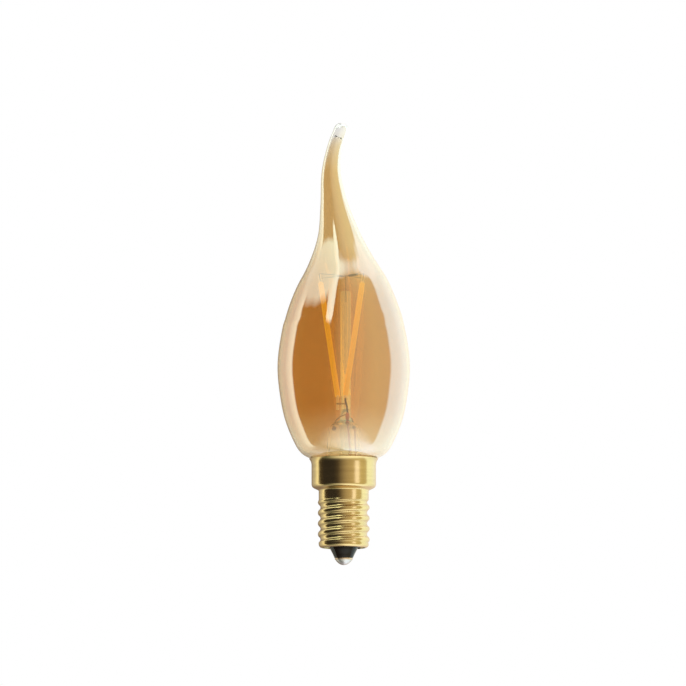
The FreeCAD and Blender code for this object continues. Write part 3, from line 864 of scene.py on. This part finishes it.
eyelet = [(0.6, solder_edge), (2.2, solder_edge), (2.27, 1.4), (2.37, 1.7), (2.39, 1.8)]
eyelet += [(2.36, glass_low), (1.0, glass_low), (1.0, well_top), (0.6, well_top)]
turned("eyelet", eyelet, "eyelet", "contact_metal", "centre_contact", closed=True)

dome = [(0, 0), (0.5, 0.05), (0.95, 0.2), (1.35, 0.45), (1.7, 0.75), (1.98, 1.05), (2.19, solder_edge)]
solder = [tuple(spot) for spot in smooth_line(dome, 4)]
solder += [(0.6, solder_edge), (0.6, well_top), (0, well_top)]
turned("solder_dome", solder, "tin", "solder", "contact_solder")

# %% [markdown]
# ## Wires
# The leads and the bridge are bent from soft wire, so their corners are round. Boxes or straight
# tubes would leave kinks. A NURBS line of order three rounds the corners of its control points, and
# a bevel gives it its thickness.


# %% Wire helper
def wire(name, points, diameter, material, slot, node):
    """Round wire of a diameter in millimetres along points in millimetres."""
    curve = bpy.data.curves.new(name, "CURVE")
    curve.dimensions = "3D"
    spline = curve.splines.new("NURBS")
    spline.points.add(len(points) - 1)
    for knot, spot in zip(spline.points, points):
        knot.co = (*(Vector(spot) * MM), 1)
    spline.order_u = 3
    spline.use_endpoint_u = True
    spline.resolution_u = 12
    curve.bevel_depth = diameter / 2 * MM
    curve.bevel_resolution = 4
    curve.use_fill_caps = True
    curve.materials.append(materials[material])
    stand_for(bpy.data.objects.new(name, curve), slot, node)
    print(name, len(points), "points")


# %% Bridge on the rod
hub = Vector((column_x, 0, 76.56))
arm_diameter = 0.24
post_diameter = 0.28
post_depth = 3.0
weld_diameter = 0.6
arm_seat = 0.29
arm_overlap = 1.6
knee_rise = 0.3
knee_bend = 0.12
weld_span = (0.20, 0.66)
weld_front = Vector((0, -0.3, 0))

for row, side in strip_feet:
    low, high = strip_ends(row, side)
    along, _, outward = strip_axes(low, high)
    seat = outward * arm_seat
    knee = high + along * knee_rise + seat
    knee.z = hub.z
    arm = [high - along * arm_overlap + seat, high + seat, knee, knee.lerp(hub, knee_bend), hub]
    wire("arm_" + row + "_" + side, arm, arm_diameter, "nickel", "bridge_wire", "filament_bridge")
post = [(column_x, 0, column_top - post_depth), hub]
wire("post", post, post_diameter, "nickel", "bridge_wire", "filament_bridge")
front_knee = strip_ends("front", "right")[1] + weld_front
front_knee.z = hub.z
arm_weld = [hub.lerp(front_knee, share) for share in weld_span]
wire("arm_weld", arm_weld, weld_diameter, "dark_wire", "bridge_wire", "filament_bridge")

# %% Leads from the foot tabs through the stem
cross_diameter = 0.4
lead_diameter = 0.46
anchor_diameter = 0.32
lead_offset = 0.35
entries = {"front": Vector((1.0, -2.4, 37.15)), "rear": Vector((3.0, 0.6, 36.15))}
board_ends = {"front": Vector((2.6, -0.8, 17.45)), "rear": Vector((3.6, 0.0, 17.45))}
bends = {
    "front": [(0.75, -2.75, 42.2), (0.95, -2.7, 40.6), (1.0, -2.55, 38.6)],
    "rear": [(0.5, 2.75, 41.8), (0.8, 2.7, 40.2), (2.4, 1.7, 38.4)],
}
for row, entry in entries.items():
    outward = Vector((0, -lead_offset if row == "front" else lead_offset, 0))
    left = strip_feet[row, "left"] + outward
    right = strip_feet[row, "right"] + outward
    cross = [left + Vector((-0.3, 0, 1.1)), right + Vector((0.3, 0, 1.1))]
    lead = [right + Vector((0, 0, 2.6)), right + Vector((0.05, 0, 1.6))] + bends[row] + [entry]
    tail = [entry, board_ends[row]]
    wire("cross_" + row, cross, cross_diameter, "nickel", "nickel_wire", "inner_lead_" + row)
    wire("lead_" + row, lead, lead_diameter, "dark_wire", "nickel_wire", "inner_lead_" + row)
    wire("tail_" + row, tail, lead_diameter, "copper", "copper_wire", "outer_lead_" + row)
anchor = [(-3.0, -1.2, 36.15), (-2.5, -1.6, 37.6), (-0.9, -2.5, 39.3), (0.9, -2.65, 39.7)]
wire("anchor", anchor, anchor_diameter, "nickel", "nickel_wire", "anchor_wire")

# %% [markdown]
# ## Welds and seals
# The front lead is welded to its copper tail just above the stem, and the glass is pinched round each
# wire where it enters, which leaves a dark or coppery lump. Small turned beads are enough for both.

# %% Weld bead and seal marks
weld = [(0, 38.0), (0.3, 38.1), (0.48, 38.5), (0.52, 39.1), (0.46, 39.7), (0.3, 40.1), (0, 40.2)]
turned("weld_bead", weld, "copper", "nickel_wire", "inner_lead_front", x=0.98, y=-2.6, sides=24)

mark_radius = 0.6
mark_rise = 0.65
mark_turns = (0, 0.5, 1.05, 1.57, 2.1, 2.64, math.pi)
seal_marks = (
    ("seal_mark_left", "dark_wire", "anchor_wire", (-2.45, -1.25, 36.0)),
    ("seal_mark_front", "copper", "inner_lead_front", (0.98, -2.45, 37.4)),
    ("seal_mark_rear", "dark_wire", "inner_lead_rear", (2.85, 0.72, 36.5)),
)
for name, material, node, (x, y, z) in seal_marks:
    mark = [(mark_radius * math.sin(turn), z - mark_rise * math.cos(turn)) for turn in mark_turns]
    turned(name, mark, material, "nickel_wire", node, x=x, y=y, sides=20)

# %% [markdown]
# ## What keeps the model's shape
# The cement, the driver and its wires are hidden in the cap, where plain shapes are enough. They
# stay as the model has them and only get the finishes of the real materials.

# %% Finishes for the hidden nodes
kept = {
    "basing_cement": "cement", "contact_wire": "nickel", "shell_wire": "copper",
    "driver_board": "laminate", "bridge_rectifier": "moulding", "driver_chip": "moulding",
    "reservoir_capacitor": "sleeve", "fusible_resistor": "resistor_body",
}
for node, material in kept.items():
    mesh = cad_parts[node].data
    mesh.materials.clear()
    mesh.materials.append(materials[material])
    for polygon in mesh.polygons:
        polygon.material_index = 0
print("kept nodes:", len(kept))

# %% [markdown]
# ## Sizes
# The dressed bulb's box is measured here, the same way as the model's box at the start.

# %% Size of the dressed bulb
low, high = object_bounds()
